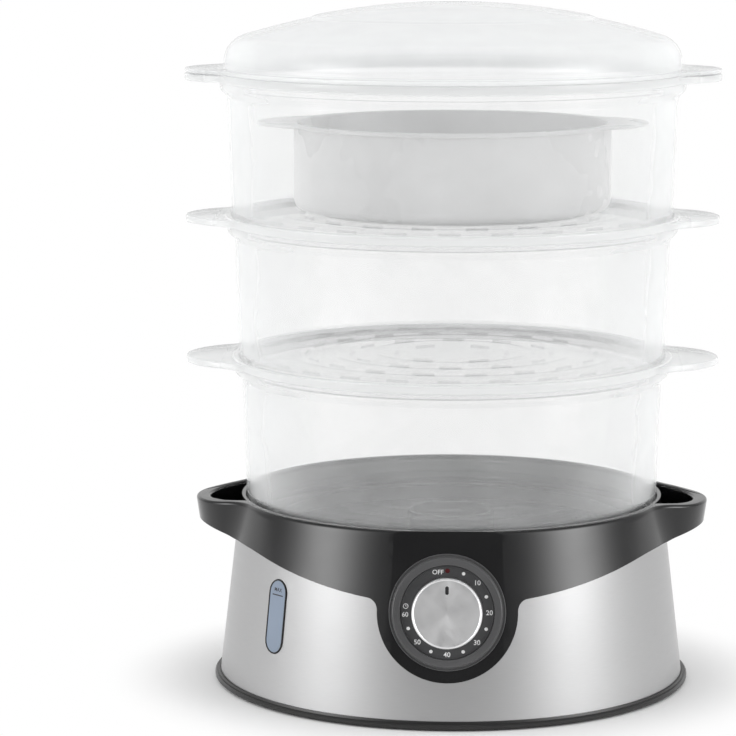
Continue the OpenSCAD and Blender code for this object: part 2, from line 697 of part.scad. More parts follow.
module cord_gland() color([0.07, 0.07, 0.07]) at_gland() difference() {
    union() {
        translate([0, 0, -gland_l]) cylinder(r = gland_r, h = gland_l + gland_flange[1]);
        cylinder(r1 = gland_flange[0], r2 = gland_flange[0] - 1.5, h = gland_flange[1]);
    }
    translate([0, 0, -gland_l - eps])
        cylinder(r = gland_bore_r, h = gland_l + gland_flange[1] + 2 * eps);
}

// An insulated lead through a list of points
module lead(points, r, shade) color(shade) for (i = [0:len(points) - 2]) hull() {
    translate(points[i]) sphere(r, $fn = 12);
    translate(points[i + 1]) sphere(r, $fn = 12);
}

module lead_wires() {
    wire_r = 1.3;
    low = pan_top + wire_r + 0.4;
    coil_end = coil_z - coil_tail - coil_pin - wire_r - 0.1;
    blade_end = dish_z + dish_rise - thermostat_l - wire_r - 0.1;
    front = block_y - block_size[1] / 2 - wire_r;
    back = block_y + block_size[1] / 2 + wire_r;
    mouth = skirt_out(gland_z) - gland_l - 2;
    bend = mouth - 10;
    lead([[-10, back, 12], [-3, bend, gland_z - 6], [-1, mouth, gland_z - 2]], wire_r, "brown");
    lead([[10, back, 12], [3, bend, gland_z - 6], [1.7, mouth, gland_z - 2]], wire_r, "royalblue");
    lead([[-10, front, 12], [-30, 40, low], [-coil_x, -coil_y, coil_end]], wire_r, "brown");
    lead([[10, front, 12], [30, 40, low], [coil_x, -coil_y, coil_end]], wire_r, "royalblue");
    lead([[0, front, 12], [0, 60, low], [-blade_x, 0, blade_end]], wire_r, "silver");
    lead([[blade_x, 0, blade_end], [16, -60, low], [4, -100, 12], [0, -114, 40]], wire_r, "brown");
}

// ---- Baskets, bowl and lid ----

module ear_plate(i, top, thick) {
    difference() {
        translate([0, 0, top - thick]) linear_extrude(thick)
            lobed(flange_r(i), ear_r, ear_reach, ear_blend_r);
        translate([0, 0, top - thick - eps]) linear_extrude(thick - ear_skin + eps)
            lobed(flange_r(i) - ear_skin, ear_r - ear_skin, ear_reach - ear_skin,
                ear_blend_r + ear_skin);
    }
}

module basket_slots(i) {
    rings = [[0.89, 24], [0.68, 18], [0.47, 12], [0.26, 6]];
    for (k = rings, a = [0:360 / k[1]:359]) rotate([0, 0, a])
        translate([foot_at(i) * k[0], 0, floor_top]) cube([slot_w, slot_l, 4 * floor_t], center = true);
}

module basket(i) {
    r = foot_at(i);
    rim = tier_pitch + seat_depth;
    neck_z = tier_pitch - 5;
    function wall(z) = r + wall_draft * z;
    shoulder_z = neck_z + recess_r(i) + wall_t - wall(neck_z);
    shelf = foot_at(i + 1) - shelf_reach;
    color([0.9, 0.92, 0.93, 0.45]) translate([0, 0, foot_z(i)]) difference() {
        union() {
            rotate_extrude() {
                polygon([[0, floor_top - floor_t], [r - foot_w, floor_top - floor_t], [r - foot_w, 0],
                    [r - foot_round, 0], [r, foot_round], [wall(neck_z), neck_z],
                    [recess_r(i) + wall_t, shoulder_z], [recess_r(i) + wall_t, rim],
                    [recess_r(i), rim], [recess_r(i), tier_pitch], [shelf, tier_pitch],
                    [shelf, tier_pitch - 2], [wall(neck_z) - wall_t, neck_z - 1],
                    [wall(floor_top) - wall_t, floor_top], [0, floor_top]]);
                intersection() {
                    translate([r - foot_round, foot_round]) circle(foot_round);
                    translate([r - foot_round, 0]) square(foot_round);
                }
                translate([recess_r(i), rim - flange_h]) square([flange_r(i) - recess_r(i), flange_h]);
            }
            difference() {
                ear_plate(i, rim - 0.8, flange_h - 1);
                translate([0, 0, tier_pitch]) cylinder(r = recess_r(i) + wall_t / 2, h = 2 * seat_depth);
            }
        }
        basket_slots(i);
    }
}

module basket_1() basket(1);
module basket_2() basket(2);
module basket_3() basket(3);

module rice_bowl() color([0.95, 0.95, 0.95]) translate([0, 0, foot_z(3) + floor_top]) {
    foot = 2.5;
    round_r = 6;
    inner_r = bowl_r - bowl_t;
    low = foot + bowl_t;
    rotate_extrude() {
        difference() {
            union() {
                translate([0, foot]) square([bowl_r - round_r, round_r]);
                translate([bowl_r - round_r, foot + round_r]) circle(round_r);
                translate([0, foot + round_r]) square([bowl_r, bowl_h - foot - round_r]);
            }
            translate([0, low]) square([bowl_r - round_r, round_r]);
            translate([bowl_r - round_r, foot + round_r]) circle(round_r - bowl_t);
            translate([0, foot + round_r]) square([inner_r, bowl_h]);
        }
        translate([bowl_r - 16, 0]) square([bowl_t, foot + 0.5]);
    }
    difference() {
        translate([0, 0, bowl_h - 2]) linear_extrude(2) lobed(bowl_r + 2.4, 46, bowl_tab_reach, 30);
        translate([0, 0, bowl_h - 3]) cylinder(r = inner_r, h = 4);
    }
}

module lid() {
    apex = lid_h - lid_panel_h;
    centre = apex - lid_dome_r;
    shoulder_x = lid_r - lid_shoulder_r;
    shoulder_z = centre + sqrt(pow(lid_dome_r - lid_shoulder_r, 2) - pow(shoulder_x, 2));
    plug_r = recess_r(3) - seat_gap;
    plug_l = seat_depth - 4;
    inner_r = lid_r - wall_t;
    // The space under the dome, shrunk by inset
    module dome(inset) {
        edge = shoulder_x * (lid_dome_r - inset) / (lid_dome_r - lid_shoulder_r);
        intersection() {
            translate([0, centre]) circle(lid_dome_r - inset, $fn = 360);
            square([edge, lid_h]);
        }
        translate([shoulder_x, shoulder_z]) circle(lid_shoulder_r - inset);
        square([lid_r - inset, shoulder_z]);
    }
    color([0.88, 0.9, 0.91, 0.5]) translate([0, 0, foot_z(3) + tier_pitch + seat_depth]) {
        rotate_extrude() {
            difference() {
                intersection() {
                    union() {
                        dome(0);
                        intersection() {
                            translate([0, centre + lid_panel_h]) circle(lid_dome_r, $fn = 360);
                            square([lid_panel_r, lid_h]);
                        }
                    }
                    square([lid_r, lid_h]);
                }
                dome(wall_t);
            }
            translate([inner_r, -plug_l]) square([plug_r - inner_r, plug_l + 1]);
            translate([inner_r, 0]) square([flange_r(3) - inner_r, lid_flange_t]);
        }
        difference() {
            linear_extrude(lid_flange_t - 0.4) lobed(flange_r(3), ear_r, ear_reach, ear_blend_r);
            translate([0, 0, -eps]) cylinder(r = lid_r - wall_t / 2, h = lid_flange_t + 2 * eps);
        }
    }
}

base_pan();
base_feet();
base_screws();
steel_skirt();
upper_housing();
water_reservoir();
level_window();
window_seal();
heater_dish();
heater_seal();
heater_tube();
heater_clamp();
heater_screws();
thermostat();
thermal_fuse();
steam_ring();
drip_tray();
timer_body();
timer_shaft();
timer_bracket();
timer_screws();
timer_bell();
dial_bezel();
dial_plate();
indicator_lamp();
knob_body();
knob_cap();
terminal_block();
lead_wires();
cord_gland();
basket_1();
basket_2();
basket_3();
rice_bowl();
lid();
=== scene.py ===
import math

import bmesh
import bpy
from mathutils import Matrix, Vector


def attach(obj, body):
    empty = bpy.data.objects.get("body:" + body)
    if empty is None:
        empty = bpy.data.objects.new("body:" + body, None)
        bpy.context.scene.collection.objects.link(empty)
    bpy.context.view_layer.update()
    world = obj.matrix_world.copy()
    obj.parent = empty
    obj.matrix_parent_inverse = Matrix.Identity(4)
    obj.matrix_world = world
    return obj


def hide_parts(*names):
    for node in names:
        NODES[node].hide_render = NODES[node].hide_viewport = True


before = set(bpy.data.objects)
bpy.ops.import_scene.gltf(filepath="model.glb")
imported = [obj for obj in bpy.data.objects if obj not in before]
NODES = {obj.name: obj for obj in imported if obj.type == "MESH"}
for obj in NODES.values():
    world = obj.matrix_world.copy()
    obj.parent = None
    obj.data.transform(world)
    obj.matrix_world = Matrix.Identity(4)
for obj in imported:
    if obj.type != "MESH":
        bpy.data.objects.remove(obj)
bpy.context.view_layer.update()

MM = 0.001

# ---- Sizes in millimetres, the same as in the solids ----

RIM_Z = 112.0          # the housing's rim
SEAT_DEPTH = 9.0       # of a basket's foot, or the lid's plug, in the rim below
PITCH = 84.0           # from one basket's foot to the next
DRAFT = 0.037          # of the baskets' walls
WALL = 2.2
FLOOR_TOP = 9.5        # of a basket's floor above its foot
FLANGE_H = 5.0
EAR_REACH, EAR_R, EAR_BLEND = 158.8, 44.0, 50.0
SKIRT_R, SKIRT_FOOT_Z, SKIRT_SLOPE = 139.2, 4, 0.118   # the skirt's foot, and how fast it narrows
BAND_R, BAND_SLOPE = 128.8, 0.176                      # the housing at its rim, and how fast it widens downwards
HANDLE_REACH, HANDLE_SLOPE = 153.6, 0.12               # a handle's end at the rim, and how it draws in downwards
HANDLE_R, HANDLE_BLEND = 40, 36.0
POCKET_X, POCKET_R = 108.6, 36                         # the round hollow of a handle
UNDER_Z, UNDER_RISE, UNDER_FROM = 89.4, 0.28, 127      # the handles' undersides, which rise from a distance on
EDGE_Z, ARCH_R = 71.3, 380.0                           # the arch of the housing's lower edge in front
LOBE_R, CORNER_R = 40, 7.0                             # the dial's lobe, and the corners where it leaves the arch
SNUG = 0.15                                            # between the housing and the skirt
DIAL_AT = (0.0, -133.0, 67.0)
PANEL_TILT = 10.0
WINDOW_TURN, WINDOW_Z = -48.5, 53.7
EAR_INSET = 0.4                                        # of the ears' ring in the flange
INK = 0.03                                             # half the thickness of printed marks


def foot_z(i):
    return RIM_Z - SEAT_DEPTH + PITCH * (i - 1)


def foot_r(i):
    return 122.4 + 4.1 * (i - 1)


def recess_r(i):
    return foot_r(i + 1) + DRAFT * SEAT_DEPTH + 0.5


def flange_r(i):
    return foot_r(i + 1) + 4.8


def skirt_out(z):
    return SKIRT_R - SKIRT_SLOPE * (z - SKIRT_FOOT_Z)


def band_out(z):
    return BAND_R + BAND_SLOPE * (RIM_Z - z)


# ---- Outlines ----

def arc(centre, radius, start, end, step=8.0, count=None):
    """Points from angle start to angle end, in radians."""
    count = count or max(2, math.ceil(abs(end - start) / math.radians(step)))
    return [(centre[0] + radius * math.cos(start + (end - start) * k / count),
             centre[1] + radius * math.sin(start + (end - start) * k / count)) for k in range(count + 1)]


def rounded(points):
    """A closed outline. A point (x, y, radius) becomes an arc, and a point (x, y) stays a corner."""
    out = []
    for i, p in enumerate(points):
        here = Vector(p[:2])
        if len(p) < 3:
            out.append((here.x, here.y))
            continue
        u = Vector(points[i - 1][:2]) - here
        v = Vector(points[(i + 1) % len(points)][:2]) - here
        half = u.angle(v) / 2
        reach = min(p[2] / math.tan(half), 0.48 * u.length, 0.48 * v.length)
        radius = reach * math.tan(half)
        u.normalize()
        v.normalize()
        centre = here + (u + v).normalized() * (radius / math.sin(half))
        a, b = here + u * reach - centre, here + v * reach - centre
        start = math.atan2(a.y, a.x)
        turn = (math.atan2(b.y, b.x) - start + math.pi) % (2 * math.pi) - math.pi
        out += arc(centre, radius, start, start + turn, 15)
    return out


def lobed(ring, end, reach, blend, n=24):
    """A circle with a rounded lobe on each side, blended into it. Its number of points hangs on n alone."""
    x = reach - end
    a, b = ring + blend, end + blend
    fx = (a * a - b * b + x * x) / (2 * x)
    fy = math.sqrt(a * a - fx * fx)
    theta, phi = math.atan2(fy, fx), math.atan2(fy, fx - x)
    quarter = arc((x, 0), end, 0, phi, count=n)
    quarter += arc((fx, fy), blend, phi + math.pi, theta + math.pi, count=n // 2)[1:]
    quarter += arc((0, 0), ring, theta, math.pi / 2, count=n + n // 4)[1:]
    half = quarter + [(-px, py) for px, py in reversed(quarter[:-1])]
    return half + [(px, -py) for px, py in reversed(half[1:-1])]


def stadium(width, length, at=(0, 0)):
    r, h = width / 2, (length - width) / 2
    return arc((at[0], at[1] + h), r, 0, math.pi, 20) + arc((at[0], at[1] - h), r, math.pi, 2 * math.pi, 20)


# ---- Meshes ----

def loft(bm, loops, closed=True):
    """Joins loops of the same length with quads. A loop of one point is a pole."""
    rings = [[bm.verts.new(p) for p in loop] for loop in loops]
    pairs = list(zip(rings, rings[1:]))
    if closed:
        pairs.append((rings[-1], rings[0]))
    for a, b in pairs:
        n = max(len(a), len(b))
        if n == 1:
            continue
        for k in range(n):
            j = (k + 1) % n
            corners = ([a[0]] if len(a) == 1 else [a[k], a[j]]) + ([b[0]] if len(b) == 1 else [b[j], b[k]])
            bm.faces.new(corners)


def lathe(bm, profile, segments=224):
    """Turns a closed outline of (radius, height) round Z."""
    loops = []
    for r, z in profile:
        if r < 1e-6:
            loops.append([(0, 0, z)])
        else:
            loops.append([(r * math.cos(2 * math.pi * k / segments), r * math.sin(2 * math.pi * k / segments), z)
                          for k in range(segments)])
    loft(bm, loops)


def prism(bm, outline, low, high):
    bottom = [bm.verts.new((x, y, low)) for x, y in outline]
    top = [bm.verts.new((x, y, high)) for x, y in outline]
    bm.faces.new(reversed(bottom))
    bm.faces.new(top)
    n = len(outline)
    for k in range(n):
        j = (k + 1) % n
        bm.faces.new((bottom[k], bottom[j], top[j], top[k]))


def plate(bm, hole, outline, section):
    """A plate round a hole. outline(inset) gives its edge, and section lists (inset, height) from the top of the hole
    to its bottom; the hole's own wall closes it."""
    edge = outline(0)
    ring = [(hole * x / math.hypot(x, y), hole * y / math.hypot(x, y)) for x, y in edge]
    loops = [[(x, y, section[0][1]) for x, y in ring]]
    loops += [[(x, y, z) for x, y in outline(inset)] for inset, z in section]
    loops.append([(x, y, section[-1][1]) for x, y in ring])
    loft(bm, loops)


def mesh_of(bm, name, place=None):
    """The mesh in metres, from millimetres, with its normals outwards."""
    bmesh.ops.recalc_face_normals(bm, faces=bm.faces)
    matrix = Matrix.Scale(MM, 4)
    if place is not None:
        matrix = matrix @ place
    bm.transform(matrix)
    mesh = bpy.data.meshes.new(name)
    bm.to_mesh(mesh)
    bm.free()
    return mesh


def turned(name, profile, place=None, segments=224):
    bm = bmesh.new()
    lathe(bm, profile, segments)
    return mesh_of(bm, name, place)


def drawn(name, outline, low, high, place=None):
    bm = bmesh.new()
    prism(bm, outline, low, high)
    return mesh_of(bm, name, place)


def boolean(mesh, tools):
    """mesh with each (operation, other mesh) of tools applied."""
    obj = bpy.data.objects.new("work", mesh)
    bpy.context.scene.collection.objects.link(obj)
    spare = []
    for operation, other in tools:
        tool = bpy.data.objects.new("tool", other)
        bpy.context.scene.collection.objects.link(tool)
        step = obj.modifiers.new("step", "BOOLEAN")
        step.operation = operation
        step.solver = "EXACT"
        step.object = tool
        spare.append(tool)
    result = bpy.data.meshes.new_from_object(obj.evaluated_get(bpy.context.evaluated_depsgraph_get()))
    for thing in spare + [obj]:
        bpy.data.objects.remove(thing)
    return result


def piece(name, mesh, body, material, replaces=(), sharp=32.0, place=None):
    """A finished piece: smooth but for its sharp edges, riding on its body."""
    mesh.materials.clear()
    mesh.materials.append(material)
    for face in mesh.polygons:
        face.use_smooth = True
        face.material_index = 0
    mesh.set_sharp_from_angle(angle=math.radians(sharp))
    obj = bpy.data.objects.new(name, mesh)
    bpy.context.scene.collection.objects.link(obj)
    if place is not None:
        obj.matrix_world = Matrix.Translation(place.translation * MM) @ place.to_quaternion().to_matrix().to_4x4()
    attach(obj, body)
    if replaces:
        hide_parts(*replaces)
    return obj


def up(z):
    return Matrix.Translation((0, 0, z))


def at_dial(z=0.0):
    """The dial's frame: x right, y up and z out of the tilted panel."""
    return Matrix.Translation(DIAL_AT) @ Matrix.Rotation(math.radians(90 - PANEL_TILT), 4, "X") @ up(z)


# ---- Materials ----

def material(name, colour, rough, **sockets):
    """A Principled material, with its constants on the shader's own sockets."""
    mat = bpy.data.materials.new(name)
    mat.use_nodes = True
    shader = mat.node_tree.nodes["Principled BSDF"]
    shader.inputs["Base Color"].default_value = (*colour, 1)
    shader.inputs["Roughness"].default_value = rough
    for key, value in sockets.items():
        shader.inputs[key.replace("_", " ")].default_value = value
    return mat


def node(mat, kind, links=(), **settings):
    """A node with its settings and its input links (socket, source)."""
    made = mat.node_tree.nodes.new("ShaderNode" + kind)
    for key, value in settings.items():
        setattr(made, key, value)
    for socket, source in links:
        if isinstance(source, (int, float, tuple)):
            made.inputs[socket].default_value = source
        else:
            mat.node_tree.links.new(source, made.inputs[socket])
    return made


def wire(mat, source, socket):
    mat.node_tree.links.new(source, mat.node_tree.nodes["Principled BSDF"].inputs[socket])


def calc(mat, operation, *values):
    """The result of a Math node."""
    return node(mat, "Math", enumerate(values), operation=operation).outputs["Value"]


def place_of(mat):
    """The object's own coordinates."""
    return node(mat, "TexCoord").outputs["Object"]


def axes_of(mat):
    """The object's own coordinates, apart as X, Y and Z."""
    return node(mat, "SeparateXYZ", [("Vector", place_of(mat))]).outputs


def noise(mat, vector, scale, detail=2.0, rough=0.5):
    return node(mat, "TexNoise", [("Vector", vector), ("Scale", scale), ("Detail", detail),
                                  ("Roughness", rough)]).outputs["Fac"]


def spread(mat, source, low, high, from_low=0.3, from_high=0.7):
    """source mapped to low and high."""
    return node(mat, "MapRange", [("Value", source), ("From Min", from_low), ("From Max", from_high),
                                  ("To Min", low), ("To Max", high)]).outputs["Result"]


def tint(mat, source, dark, light):
    """The base colour between two close shades."""
    ramp = node(mat, "ValToRGB", [("Fac", source)])
    ramp.color_ramp.elements[0].position = 0.3
    ramp.color_ramp.elements[1].position = 0.7
    ramp.color_ramp.elements[0].color = (*dark, 1)
    ramp.color_ramp.elements[1].color = (*light, 1)
    wire(mat, ramp.outputs["Color"], "Base Color")


def bump(mat, height, depth):
    made = node(mat, "Bump", [("Height", height), ("Distance", depth), ("Strength", 1.0)])
    wire(mat, made.outputs["Normal"], "Normal")


def plastic(name, colour, rough, grain=900.0, depth=0.00002):
    """Moulded plastic: a slight change of shade, a fine grain and an uneven polish."""
    vary = 0.08
    mat = material(name, colour, rough)
    vector = place_of(mat)
    broad = noise(mat, vector, 14.0, 3.0)
    tint(mat, broad, tuple(c * (1 - vary) for c in colour), tuple(c * (1 + vary) for c in colour))
    fine = noise(mat, vector, grain, 2.0)
    wire(mat, spread(mat, broad, rough * 0.85, min(1.0, rough * 1.2)), "Roughness")
    bump(mat, fine, depth)
    return mat


def metal(name, colour, rough):
    """Plain sheet metal or a turned metal piece."""
    mat = material(name, colour, rough, Metallic=1.0)
    fine = noise(mat, place_of(mat), 700.0, 3.0)
    wire(mat, spread(mat, fine, rough * 0.7, rough * 1.3), "Roughness")
    bump(mat, fine, 0.00002)
    return mat


def brushed_steel():
    """Steel sheet brushed round the axis: hairlines that run sideways."""
    mat = material("brushed_steel", (0.42, 0.42, 0.422), 0.3, Metallic=1.0, Anisotropic=0.7)
    axes = axes_of(mat)
    angle = calc(mat, "ARCTAN2", axes["Y"], axes["X"])
    vector = node(mat, "CombineXYZ", [("X", angle), ("Y", axes["Z"])]).outputs["Vector"]

    def hairs(across, along, detail):
        stretched = node(mat, "Mapping", [("Vector", vector), ("Scale", (across, along, 1))]).outputs["Vector"]
        return noise(mat, stretched, 1.0, detail, 0.6)

    tint(mat, hairs(16.0, 9000.0, 3.0), (0.415, 0.415, 0.418), (0.455, 0.455, 0.457))
    wire(mat, spread(mat, hairs(2.5, 200.0, 3.0), 0.285, 0.325), "Roughness")
    bump(mat, hairs(40.0, 12000.0, 2.0), 0.0000015)
    wire(mat, node(mat, "Tangent", direction_type="RADIAL", axis="Z").outputs["Tangent"], "Tangent")
    return mat


def spun_aluminium():
    """The knob's face, turned on a lathe: fine rings round its own axis."""
    mat = material("spun_aluminium", (0.80, 0.80, 0.805), 0.32, Metallic=1.0, Anisotropic=0.75)
    axes = axes_of(mat)
    flat = node(mat, "CombineXYZ", [("X", axes["X"]), ("Y", axes["Y"])]).outputs["Vector"]
    reach = node(mat, "VectorMath", [("Vector", flat)], operation="LENGTH").outputs["Value"]
    rings = noise(mat, node(mat, "CombineXYZ", [("X", reach)]).outputs["Vector"], 5200.0, 3.0, 0.7)
    tint(mat, rings, (0.84, 0.84, 0.845), (0.94, 0.94, 0.945))
    wire(mat, spread(mat, noise(mat, flat, 90.0, 3.0), 0.27, 0.38), "Roughness")
    bump(mat, rings, 0.000002)
    wire(mat, node(mat, "Tangent", direction_type="RADIAL", axis="Z").outputs["Tangent"], "Tangent")
    return mat


def gloss_black():
    """Gloss black housing plastic with the faint waviness of a moulding."""
    mat = material("gloss_black", (0.008, 0.008, 0.0085), 0.12)
    vector = place_of(mat)
    broad = noise(mat, vector, 22.0, 2.0)
    tint(mat, broad, (0.007, 0.007, 0.0075), (0.010, 0.010, 0.0105))
    wire(mat, spread(mat, noise(mat, vector, 60.0, 3.0), 0.10, 0.16), "Roughness")
    bump(mat, broad, 0.00008)
    return mat


def clear(name, colour, alpha, edge, milk, through=1.0):
    """Clear moulded plastic: thin to look through, denser towards its edges, and milky where milk says so. Its colour
    holds a painted shade: darker by the share through where it faces the viewer, and full where it lies edge on.
    """
    rough = 0.09
    mat = material(name, colour, rough, IOR=1.58)
    vector = place_of(mat)
    weight = node(mat, "LayerWeight", [("Blend", 0.35)])
    # Painted shade: the base colour darkens where the surface faces the viewer and is full where it lies edge on
    tint(mat, spread(mat, weight.outputs["Facing"], 0.3, 0.7, 0.2, 0.75), tuple(c * through for c in colour), colour)
    value = spread(mat, weight.outputs["Facing"], alpha, edge, 0.15, 0.95)
    value = calc(mat, "ADD", value, spread(mat, noise(mat, vector, 30.0), -0.02, 0.02))
    wire(mat, milk(mat, value), "Alpha")
    wire(mat, spread(mat, noise(mat, vector, 45.0, 3.0), rough * 0.7, rough * 1.5), "Roughness")
    bump(mat, noise(mat, vector, 18.0, 2.0), 0.00012)
    return mat


STEEL = brushed_steel()
BLACK = gloss_black()
PAN_BLACK = plastic("pan_black", (0.012, 0.0118, 0.0116), 0.36)
RUBBER = plastic("foot_rubber", (0.016, 0.016, 0.016), 0.7, grain=1600.0, depth=0.00004)
SEAL = plastic("seal_black", (0.006, 0.006, 0.006), 0.35)

FINISH = {
    "base_pan": PAN_BLACK,
    "base_feet": RUBBER,
    "base_screws": metal("zinc", (0.62, 0.62, 0.6), 0.35),
    "steel_skirt": STEEL,
    "upper_housing": BLACK,
    "water_reservoir": plastic("reservoir_grey", (0.035, 0.035, 0.038), 0.4),
    "level_window": plastic("window_blue", (0.245, 0.30, 0.385), 0.16, depth=0.00001),
    "window_seal": SEAL,
    "heater_dish": metal("cast_aluminium", (0.72, 0.73, 0.74), 0.42),
    "heater_seal": plastic("silicone_red", (0.42, 0.09, 0.05), 0.55),
    "heater_tube": metal("heater_sheath", (0.28, 0.28, 0.3), 0.5),
    "heater_clamp": metal("clamp_steel", (0.55, 0.55, 0.56), 0.4),
    "heater_screws": metal("screw_zinc", (0.66, 0.66, 0.62), 0.35),
    "thermostat": plastic("bakelite_brown", (0.05, 0.03, 0.02), 0.4),
    "thermal_fuse": plastic("fuse_cream", (0.62, 0.6, 0.5), 0.45),
    "steam_ring": plastic("ring_pale", (0.66, 0.68, 0.68), 0.3),
    "drip_tray": plastic("tray_dark", (0.045, 0.045, 0.048), 0.35),
    "timer_body": metal("timer_case", (0.6, 0.6, 0.58), 0.38),
    "timer_shaft": metal("shaft_steel", (0.6, 0.6, 0.6), 0.3),
    "timer_bracket": metal("bracket_steel", (0.6, 0.6, 0.6), 0.4),
    "timer_screws": metal("small_screws", (0.65, 0.65, 0.62), 0.35),
    "timer_bell": metal("bell_brass", (0.7, 0.52, 0.22), 0.25),
    "dial_bezel": plastic("bezel_grey", (0.084, 0.084, 0.086), 0.3),
    "dial_plate": plastic("scale_black", (0.05, 0.05, 0.052), 0.38),
    "indicator_lamp": plastic("lamp_red", (0.07, 0.004, 0.006), 0.25),
    "knob_body": plastic("knob_dark", (0.02, 0.02, 0.021), 0.4),
    "knob_cap": metal("cap_aluminium", (0.72, 0.72, 0.73), 0.3),
    "terminal_block": plastic("block_cream", (0.72, 0.7, 0.62), 0.45),
    "lead_wires": plastic("wire_brown", (0.2, 0.09, 0.04), 0.45),
    "cord_gland": plastic("gland_black", (0.012, 0.012, 0.012), 0.5),
}
for key, finish in FINISH.items():
    for place in NODES[key].material_slots:
        place.material = finish

# ---- Upper housing ----

def edge_height(x, lift=0.0):
    """Height of the housing's lower edge: the arch in front, and the handles' rising undersides."""
    x = abs(x)
    arch = EDGE_Z + ARCH_R - math.sqrt(ARCH_R ** 2 - x * x)
    under = UNDER_Z + UNDER_RISE * max(0.0, x - UNDER_FROM)
    return lift - math.log(math.exp(-arch) + math.exp(-under))


def slab(outline_xz):
    """An outline of (x, z) drawn out along Y."""
    bm = bmesh.new()
    prism(bm, outline_xz, -220, 220)
    bm.transform(Matrix(((1, 0, 0, 0), (0, 0, 1, 0), (0, 1, 0, 0), (0, 0, 0, 1))))
    return bm


def upper_housing():
    """The black band with the dial's lobe and the hollow handles, cut from one solid body."""
    levels = [(0, z) for z in (20, 50, 60, 70, 80, 88, 94, 100, 105, 108)]
    levels += [(1.8 - x, RIM_Z - 1.8 + z) for x, z in arc((0, 0), 1.8, 0, math.pi / 2, 10)]
    bm = bmesh.new()
    loops = []
    for inset, z in levels:
        reach = max(HANDLE_REACH - HANDLE_SLOPE * (RIM_Z - z), band_out(z) + 8)
        outline = lobed(band_out(z) - inset, HANDLE_R - inset, reach - inset, HANDLE_BLEND + inset, 32)
        loops.append([(x, y, z) for x, y in outline])
    loft(bm, loops, closed=False)
    for loop in (bm.verts[:len(loops[0])], bm.verts[-len(loops[0]):]):
        bm.faces.new(loop)
    body = mesh_of(bm, "body")

    steps = [-200 + 4 * k for k in range(101)]
    below = mesh_of(slab([(-200, -20)] + [(x, edge_height(x)) for x in steps] + [(200, -20)]), "below")
    corner = LOBE_R + CORNER_R
    edge_z = EDGE_Z + corner ** 2 / (2 * ARCH_R)
    edge_y = math.sqrt(band_out(edge_z) ** 2 - corner ** 2)
    tilt = math.radians(PANEL_TILT)
    top = (-DIAL_AT[1] - edge_y) * math.sin(tilt) + (edge_z - DIAL_AT[2]) * math.cos(tilt)
    outline = [(corner, top + 3), (corner, top)]
    outline += arc((corner, top - CORNER_R), CORNER_R, math.pi / 2, math.pi, 10)[1:]
    outline += arc((0, 0), LOBE_R, 0, -math.pi, 3) + arc((-corner, top - CORNER_R), CORNER_R, 0, math.pi / 2, 10)
    outline.append((-corner, top + 3))
    below = boolean(below, [("DIFFERENCE", drawn("lobe", outline, -80, 60, at_dial()))])
    front = drawn("front", [(-300, -300), (300, -300), (300, 300), (-300, 300)], 0, 200, at_dial())

    ledge_z, ledge_r, seat_z, seat_r = 91.5, skirt_out(91) - 2.6, foot_z(1), recess_r(0)
    room = [(0, 0), (skirt_out(0) + SNUG, 0), (skirt_out(ledge_z) + SNUG, ledge_z), (ledge_r, ledge_z),
            (ledge_r, seat_z - 3), (117, seat_z - 3), (117, seat_z), (seat_r, seat_z)]
    room += [(seat_r + 1.2 - x, RIM_Z - 1.2 + z) for x, z in arc((0, 0), 1.2, 0, math.pi / 2, 15)]
    room += [(seat_r + 1.2, RIM_Z + 5), (0, RIM_Z + 5)]
    inside = turned("inside", room, None, 256)
    cavity = turned("cavity", [(0, -48), (33, -48), (33, -3), (0, -3)], at_dial(), 96)
    wall = 2.5    # left between the skirt or the seat and a handle's hollow
    kept = [(0, 0), (skirt_out(0) + wall, 0), (skirt_out(ledge_z) + wall, 94), (ledge_r + wall, 94),
            (ledge_r + wall, seat_z), (seat_r + wall, seat_z), (seat_r + wall, 200), (0, 200)]
    keep = turned("keep", kept, None, 256)
    above = mesh_of(slab([(-200, 200)] + [(x, edge_height(x, 3.0)) for x in steps] + [(200, 200)]), "above")
    flare = [(POCKET_R + 2.0 - x, RIM_Z - 2.0 + z) for x, z in arc((0, 0), 2.0, 0, math.pi / 2, 10)]
    hollows = []
    for side in (-1, 1):
        pocket = turned("pocket", [(0, 60), (POCKET_R, 60)] + flare + [(POCKET_R + 2, RIM_Z + 8), (0, RIM_Z + 8)],
                        Matrix.Translation((side * POCKET_X, 0, 0)), 128)
        hollows.append(("DIFFERENCE", boolean(pocket, [("INTERSECT", above), ("DIFFERENCE", keep)])))
    mesh = boolean(body, [("DIFFERENCE", below), ("DIFFERENCE", front), ("DIFFERENCE", inside), ("DIFFERENCE", cavity)]
                   + hollows)
    # The handles' tops fall a little towards their tips
    for vertex in mesh.vertices:
        x, z = abs(vertex.co.x) / MM, vertex.co.z / MM
        t = min(1.0, max(0.0, (x - 118) / 30))
        weight = t * t * (3 - 2 * t) * min(1.0, max(0.0, (z - 96) / 13))
        vertex.co.z -= 2.4 * weight * MM
    return piece("upper_housing_shell", mesh, "base", BLACK, ["upper_housing"], 14.0)


upper_housing()

# ---- Baskets ----

RIDGES = (0.785, 0.575, 0.365)                           # radii of the floor's ridges, as shares of the foot's
SLOTS = ((0.89, 24), (0.68, 18), (0.47, 12), (0.26, 6))  # radii of the rings of slots, and the slots in each
RIM_HAZE, EAR_HAZE = 0.5, 0.62


def ears_in(mat, flange):
    """The haze of the ears, beyond the flange."""
    side = calc(mat, "ABSOLUTE", axes_of(mat)["X"])
    return spread(mat, side, 0.0, EAR_HAZE, flange * MM, (flange + 5) * MM)


